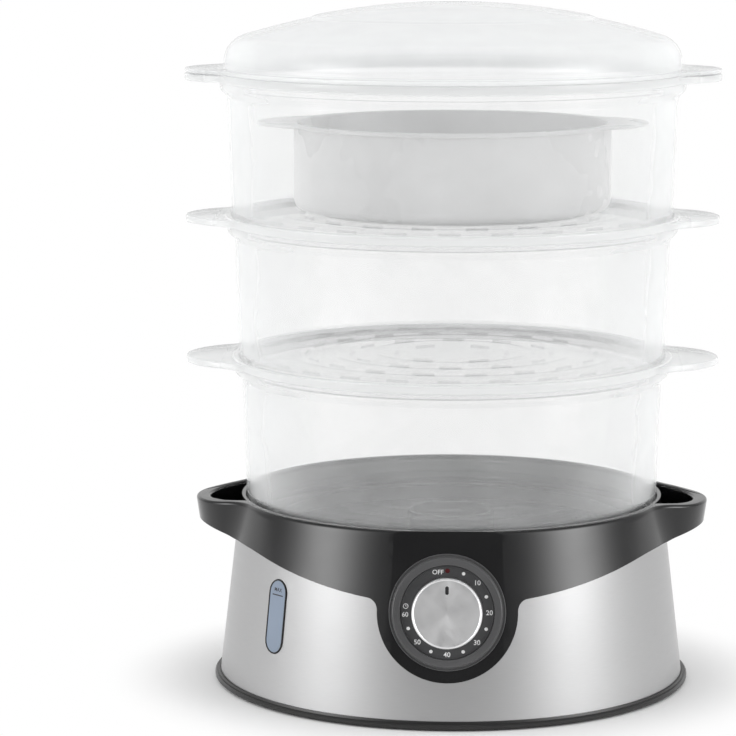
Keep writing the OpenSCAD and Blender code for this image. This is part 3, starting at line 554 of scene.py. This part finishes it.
def milky_rim(i, haze):
    """Milky at the flange, where the plastic lies edge on, and of an even haze on the floor."""
    low, high = foot_z(i) + FLOOR_TOP, foot_z(i) + PITCH

    def build(mat, value):
        z = axes_of(mat)["Z"]
        value = calc(mat, "MAXIMUM", value, spread(mat, z, 0.0, RIM_HAZE, (high + 2.5) * MM, (high + 4) * MM))
        value = calc(mat, "MAXIMUM", value, ears_in(mat, flange_r(i)))
        floor = spread(mat, z, 1.0, 0.0, (low + 0.8) * MM, (low + 2.5) * MM)
        return node(mat, "Mix", [("Factor", floor), ("A", value), ("B", haze)]).outputs["Result"]
    return build


def ear_plate(ring):
    """outline(inset) of a plate with two ears, for plate()."""
    return lambda inset: lobed(ring - inset, EAR_R - inset, EAR_REACH - inset, EAR_BLEND + inset)


def basket(i):
    r, recess, flange = foot_r(i), recess_r(i), flange_r(i)
    rim, neck = PITCH + SEAT_DEPTH, PITCH - 5

    def wall(z):
        return r + DRAFT * z

    shelf = foot_r(i + 1) - 5.4
    ridges = []
    for share in RIDGES:
        x = r * share
        ridges += [(x + 1.2, FLOOR_TOP), (x + 0.6, FLOOR_TOP + 0.7), (x - 0.6, FLOOR_TOP + 0.7), (x - 1.2, FLOOR_TOP)]
    profile = rounded([(r - 4, FLOOR_TOP - 2.3, 0.8), (r - 4, 0, 0.6), (r, 0, 3), (wall(neck), neck, 2.5),
                       (recess + WALL, neck + recess + WALL - wall(neck), 2), (recess + WALL, rim - FLANGE_H, 0.5),
                       (flange, rim - FLANGE_H, 0.7), (flange, rim, 1.1), (recess, rim, 0.7), (recess, PITCH, 0.8),
                       (shelf, PITCH, 0.5), (shelf, PITCH - 2, 0.5), (wall(neck) - WALL, neck - 1, 2.5),
                       (wall(FLOOR_TOP) - WALL, FLOOR_TOP, 1.6)])
    shell = turned("shell", [(0, FLOOR_TOP - 2.3)] + profile + ridges + [(0, FLOOR_TOP)], up(foot_z(i)))

    top, thick = rim - 0.8, FLANGE_H - 1
    bm = bmesh.new()
    plate(bm, recess + WALL / 2, ear_plate(flange - EAR_INSET),
          [(0.9, top), (0.35, top - 0.2), (0, top - 0.8), (0, top - thick + 0.5), (0.4, top - thick),
           (1.5, top - thick), (1.8, top - thick + 0.5), (1.8, top - 1.8)])
    ears = mesh_of(bm, "ears", up(foot_z(i)))

    bm = bmesh.new()
    for share, count in SLOTS:
        for k in range(count):
            turn = 2 * math.pi * k / count
            outline = [(x * math.cos(turn) - y * math.sin(turn), x * math.sin(turn) + y * math.cos(turn))
                       for x, y in stadium(3.0, 13.0, (r * share, 0))]
            prism(bm, outline, FLOOR_TOP - 5, FLOOR_TOP + 3)
    slots = mesh_of(bm, "slots", up(foot_z(i)))
    finish = clear(f"clear_plastic_{i}", (0.91, 0.92, 0.922), 0.12, 0.62, milky_rim(i, 0.12 if i == 1 else 0.22),
                   0.94)
    name = f"basket_{i}"
    return piece(f"{name}_shell", boolean(shell, [("UNION", ears), ("DIFFERENCE", slots)]), name, finish,
                 [name])


for tier in (1, 2, 3):
    basket(tier)

# ---- Rice bowl ----

BOWL_Z = foot_z(3) + FLOOR_TOP
bowl = turned("bowl", [(0, 2.5)] + rounded([(78, 2.5, 0.8), (78, 0, 0.8), (80.2, 0, 0.8), (80.2, 2.5, 0.8),
                                            (94, 2.5, 6), (94, 51.4, 0.6), (96.4, 51.4, 0.7), (96.4, 54, 1.1),
                                            (91.8, 54, 1.0), (91.8, 4.7, 3.8)]) + [(0, 4.7)], up(BOWL_Z))
bm = bmesh.new()
plate(bm, 93, lambda inset: lobed(96.0 - inset, 46 - inset, 116 - inset, 30 + inset),
      [(0.7, 54), (0.2, 53.8), (0, 53.3), (0, 52.6), (0.3, 52.1), (0.8, 52)])
tabs = mesh_of(bm, "tabs", up(BOWL_Z))
piece("rice_bowl_shell", boolean(bowl, [("UNION", tabs)]), "rice_bowl",
      plastic("bowl_white", (0.74, 0.74, 0.742), 0.28, grain=500.0), ["rice_bowl"])

# ---- Lid ----

LID_Z = foot_z(3) + PITCH + SEAT_DEPTH
LID_R, LID_FLANGE_R, SHOULDER, DOME, APEX = 135.3, 139.5, 16.0, 425.0, 40.0
centre = APEX - DOME
sx = LID_R - SHOULDER
sz = centre + math.sqrt((DOME - SHOULDER) ** 2 - sx ** 2)
lean = math.atan2(sz - centre, sx)
inner = LID_R - WALL


def dome_point(radius, x, lift=0.0):
    return (x, centre + lift + math.sqrt(radius * radius - x * x))


outside = rounded([(inner, -5, 0.5), (135.0, -5, 1.2), (135.0, 0, 0.2), (LID_FLANGE_R, 0, 0.7),
                   (LID_FLANGE_R, 2.6, 1.0), (LID_R, 2.6, 0.8), (LID_R, sz, 0.1)])
outside += arc((sx, sz), SHOULDER, 0, lean, 5.0)
outside += [dome_point(DOME, x) for x in (112, 104, 96, 90, 86.5)]
# The soft step of the raised round panel, and the panel
step = ((85.2, 0.0), (84.6, 0.1), (84.0, 0.3), (83.2, 0.6), (82.2, 0.85), (81.2, 0.97))
outside += [dome_point(DOME, x, lift) for x, lift in step]
outside += [dome_point(DOME, x, 1.0) for x in (80, 72, 60, 48, 36, 24, 12)] + [(0, APEX + 1.0)]
inside = [(0, APEX - WALL)] + [dome_point(DOME - WALL, x) for x in (12, 24, 36, 48, 60, 72, 84, 96, 108)]
inside += arc((sx, sz), SHOULDER - WALL, lean, 0, 6.0)
dome = turned("dome", outside + inside, up(LID_Z))
bm = bmesh.new()
plate(bm, LID_R - WALL / 2, ear_plate(LID_FLANGE_R - EAR_INSET),
      [(0.9, 2.2), (0.3, 2.0), (0, 1.5), (0, 0.5), (0.25, 0.1), (0.6, 0)])
ears = mesh_of(bm, "ears", up(LID_Z))


def milky_flange(mat, value):
    """The lid's haze, with its flange and ears milky."""
    rim = spread(mat, axes_of(mat)["Z"], RIM_HAZE, 0.0, (LID_Z + 2.7) * MM, (LID_Z + 4.5) * MM)
    rim = calc(mat, "MAXIMUM", rim, ears_in(mat, flange_r(3)))
    return calc(mat, "MAXIMUM", value, rim)


piece("lid_shell", boolean(dome, [("UNION", ears)]), "lid",
      clear("lid_clear", (0.92, 0.93, 0.935), 0.30, 0.66, milky_flange), ["lid"])

# ---- Dial ----

MARK_R, SCALE_Z = 23.8, 2.0
MARKS = material("marks_white", (0.82, 0.82, 0.82), 0.5)
tint(MARKS, noise(MARKS, place_of(MARKS), 800.0), (0.74, 0.74, 0.74), (0.88, 0.88, 0.88))


def words(text, size, at, bold):
    """The text as a flat mesh in millimetres, its middle at a point of the plane."""
    curve = bpy.data.curves.new("words", "FONT")
    curve.body = text
    curve.size = size
    curve.align_x = "CENTER"
    curve.align_y = "CENTER"
    curve.extrude = INK
    curve.offset = bold
    curve.resolution_u = 4
    obj = bpy.data.objects.new("words", curve)
    bpy.context.scene.collection.objects.link(obj)
    bpy.context.view_layer.update()
    mesh = bpy.data.meshes.new_from_object(obj.evaluated_get(bpy.context.evaluated_depsgraph_get()))
    bpy.data.objects.remove(obj)
    bm = bmesh.new()
    bm.from_mesh(mesh)
    bmesh.ops.transform(bm, verts=bm.verts, matrix=Matrix.Translation((*at, 0)))
    return bm


def join(parts):
    """One bmesh out of several."""
    whole = bmesh.new()
    for part in parts:
        mesh = bpy.data.meshes.new("part")
        part.to_mesh(mesh)
        part.free()
        whole.from_mesh(mesh)
        bpy.data.meshes.remove(mesh)
    return whole


def on_scale(turn):
    """The point of the marks' circle at an angle in degrees, clockwise from the top."""
    turn = math.radians(90 - turn)
    return MARK_R * math.cos(turn), MARK_R * math.sin(turn)


scale = [words("OFF", 3.7, (-5.4, 22.7), 0.05)]
scale += [words(str(10 * k), 3.9, on_scale(45 * k), 0.05) for k in range(1, 6)]
scale.append(words("60", 3.7, (-MARK_R, -1.3), 0.05))
dots = bmesh.new()
for k in range(6):
    prism(dots, arc(on_scale(22.5 + 45 * k), 1.0, 0, 2 * math.pi, 15)[:-1], -INK, INK)
# The small clock over the 60
circle = [2 * math.pi * k / 32 for k in range(32)]
loft(dots, [[(r * math.cos(turn) - 23.5, r * math.sin(turn) + 3.5, z) for turn in circle]
            for r, z in ((1.15, -INK), (1.5, -INK), (1.5, INK), (1.15, INK))])
prism(dots, [(-23.62, 3.4), (-23.38, 3.4), (-23.38, 4.4), (-23.62, 4.4)], -INK, INK)
prism(dots, [(-23.38, 3.4), (-22.8, 3.4), (-22.8, 3.64), (-23.38, 3.64)], -INK, INK)
scale.append(dots)
piece("dial_marks", mesh_of(join(scale), "dial_marks", at_dial(SCALE_Z + 0.04)), "base", MARKS)

bezel = rounded([(26.7, 0), (26.7, 3.7, 0.3), (27.0, 4.0, 0.2), (31.0, 4.0, 0.7), (31.5, 0.9, 0.2), (32.2, 0.9, 0.1),
                 (32.5, 1.3, 0.15), (33.0, 1.3, 0.2), (33.2, 0)])
piece("dial_bezel_ring", turned("dial_bezel_ring", bezel, at_dial(), 200), "base", FINISH["dial_bezel"],
      ["dial_bezel"], 25.0)
disc = rounded([(26.6, 0), (26.6, 2.3, 0.2), (25.9, 2.3, 0.2), (25.6, SCALE_Z, 0.1)])[1:]
disc = turned("dial_scale_disc", [(0, 0)] + disc + [(0, SCALE_Z)], at_dial(), 200)
piece("dial_scale_disc", disc, "base", FINISH["dial_plate"], ["dial_plate"], 25.0)

cap = rounded([(18.5, 17.3, 0.3), (18.9, 17.55, 0.1), (19.3, 17.4, 0.15), (19.9, 16.6, 0.3), (20.2, 2.4, 0.2),
               (19.3, 2.4, 0.2), (19.0, 16.4, 0.3)])
cap = turned("cap", [(0, 17.2)] + cap + [(0, 16.4)], None, 200)
notch = drawn("notch", stadium(2.0, 4.8, (0, 13)), 15, 19)
piece("knob_cap_face", boolean(cap, [("DIFFERENCE", notch)]), "dial", spun_aluminium(),
      ["knob_cap"], 20.0, at_dial())

# ---- Level window ----

AT_WINDOW = (Matrix.Rotation(math.radians(WINDOW_TURN), 4, "Z")
             @ Matrix.Translation((0, -skirt_out(WINDOW_Z), WINDOW_Z))
             @ Matrix.Rotation(math.radians(90 - math.degrees(math.atan(SKIRT_SLOPE))), 4, "X"))
bm = bmesh.new()
loft(bm, [[(x, y, z) for x, y in stadium(15.6 - 2 * inset, 43.6 - 2 * inset)]
          for inset, z in ((0, -1.2), (0, 0.4), (0.15, 0.6), (0.6, 0.6), (0.8, 0.4), (0.8, -1.2))])
piece("window_seal_rim", mesh_of(bm, "window_seal_rim", AT_WINDOW), "base", SEAL, ["window_seal"], 25.0)
piece("window_pane", drawn("window_pane", stadium(13.9, 41.9), -1.4, 0.25, AT_WINDOW), "base",
      FINISH["level_window"], ["level_window"], 25.0)
line = bmesh.new()
prism(line, [(-4.8, 12.2), (4.8, 12.2), (4.8, 12.9), (-4.8, 12.9)], -INK, INK)
marks = mesh_of(join([words("MAX", 3.2, (0, 15.6), 0.03), line]), "window_marks", AT_WINDOW @ up(0.29))
piece("window_marks", marks, "base", plastic("ink_black", (0.03, 0.032, 0.04), 0.5))

# ---- Floor, light and camera ----

SIDE = math.radians(0.83)                # the camera's turn to the right of the front
SHADOW_FROM, SHADOW_TO = 0.143, 0.21     # metres from the middle, where the floor's shadow fades into white

around = [2 * math.pi * k / 96 for k in range(96)]
rings = [[(r * math.cos(turn), r * math.sin(turn), 0) for turn in around] for r in (0.4, 1.0, 3.0, 16.0)]
bm = bmesh.new()
loft(bm, [[(0, 0, 0)]] + rings, closed=False)
bmesh.ops.recalc_face_normals(bm, faces=bm.faces)
mesh = bpy.data.meshes.new("floor")
bm.to_mesh(mesh)
bm.free()
floor = bpy.data.objects.new("floor", mesh)
bpy.context.scene.collection.objects.link(floor)

# White to the camera, in the gloss and through the clear plastic, but for the shadow round the foot
ground = bpy.data.materials.new("floor_white")
ground.use_nodes = True
ground.node_tree.nodes.clear()
out = node(ground, "OutputMaterial")
matte = node(ground, "BsdfDiffuse", [("Color", (0.86, 0.86, 0.86, 1))])
glow = node(ground, "Emission", [("Color", (1, 1, 1, 1)), ("Strength", 1.0)])
rays = node(ground, "LightPath").outputs
seen = calc(ground, "MAXIMUM", rays["Is Camera Ray"], rays["Is Glossy Ray"])
seen = calc(ground, "MAXIMUM", seen, rays["Is Transmission Ray"])
where = node(ground, "VectorMath", [("Vector", place_of(ground))], operation="LENGTH")
fade = node(ground, "MapRange", [("Value", where.outputs["Value"]), ("From Min", SHADOW_FROM), ("From Max", SHADOW_TO),
                                 ("To Min", 0.0), ("To Max", 1.0)], interpolation_type="SMOOTHSTEP")
share = calc(ground, "MULTIPLY", seen, fade.outputs["Result"])
mixed = node(ground, "MixShader", [("Fac", share), (1, matte.outputs["BSDF"]), (2, glow.outputs["Emission"])])
ground.node_tree.links.new(mixed.outputs["Shader"], out.inputs["Surface"])
floor.data.materials.append(ground)

# A soft studio: an even room, two tall soft lights at the front's sides, and dimmer ones behind
world = bpy.context.scene.world or bpy.data.worlds.new("studio")
bpy.context.scene.world = world
world.use_nodes = True
world.node_tree.nodes.clear()


def strip(azimuth, height, wide, tall, power):
    """A soft light in the room at an azimuth from the camera and a height, all angles in degrees. It is a bell in
    width and height, and dark behind."""
    facing = node(world, "VectorRotate", [("Vector", ROOM), ("Angle", math.radians(-azimuth) - SIDE)],
                  rotation_type="Z_AXIS").outputs["Vector"]
    parts = node(world, "SeparateXYZ", [("Vector", facing)]).outputs
    side = calc(world, "MULTIPLY", parts["X"], 1 / math.sin(math.radians(wide)))
    rise = calc(world, "SUBTRACT", parts["Z"], math.sin(math.radians(height)))
    rise = calc(world, "MULTIPLY", rise, 1 / math.sin(math.radians(tall)))
    off = calc(world, "ADD", calc(world, "MULTIPLY", side, side), calc(world, "MULTIPLY", rise, rise))
    bell = calc(world, "EXPONENT", calc(world, "MULTIPLY", off, -1.0))
    lit = calc(world, "MULTIPLY", bell, calc(world, "LESS_THAN", parts["Y"], 0.0))
    return calc(world, "MULTIPLY", lit, power)


ROOM = node(world, "TexCoord").outputs["Generated"]


def total(parts):
    value = parts[0]
    for part in parts[1:]:
        value = calc(world, "ADD", value, part)
    return value


# What gloss reflects, and what lights the surfaces
shown = total([strip(-67, 10, 18, 22, 7.9), strip(67, 10, 18, 22, 8.4), strip(-150, 12, 26, 18, 0.9),
               strip(150, 12, 26, 18, 0.9), strip(0, 10, 26, 22, -0.25), 0.5])
given = total([strip(-92, 22, 38, 40, 2.1), strip(92, 22, 38, 40, 2.1), strip(180, 30, 50, 40, 0.4), 0.26])
rays = node(world, "LightPath")
light = node(world, "Mix", [("Factor", rays.outputs["Is Diffuse Ray"]), ("A", shown), ("B", given)]).outputs["Result"]
sky = node(world, "Background", [("Strength", light)])
end = node(world, "OutputWorld")
world.node_tree.links.new(sky.outputs["Background"], end.inputs["Surface"])

camera = bpy.data.objects.new("camera", bpy.data.cameras.new("camera"))
bpy.context.scene.collection.objects.link(camera)
DISTANCE, HEIGHT, DOWN, LEFT = 1.98684, 0.4841, 8.515, 1.444   # in metres, and the aim's turns in degrees
camera.location = (DISTANCE * math.sin(SIDE), -DISTANCE * math.cos(SIDE), HEIGHT)
camera.rotation_euler = (math.radians(90 - DOWN), 0, SIDE + math.radians(LEFT))
camera.data.sensor_width = 36
camera.data.sensor_fit = "HORIZONTAL"
camera.data.lens = 164.1
bpy.context.scene.camera = camera
bpy.context.scene.view_settings.view_transform = "Standard"
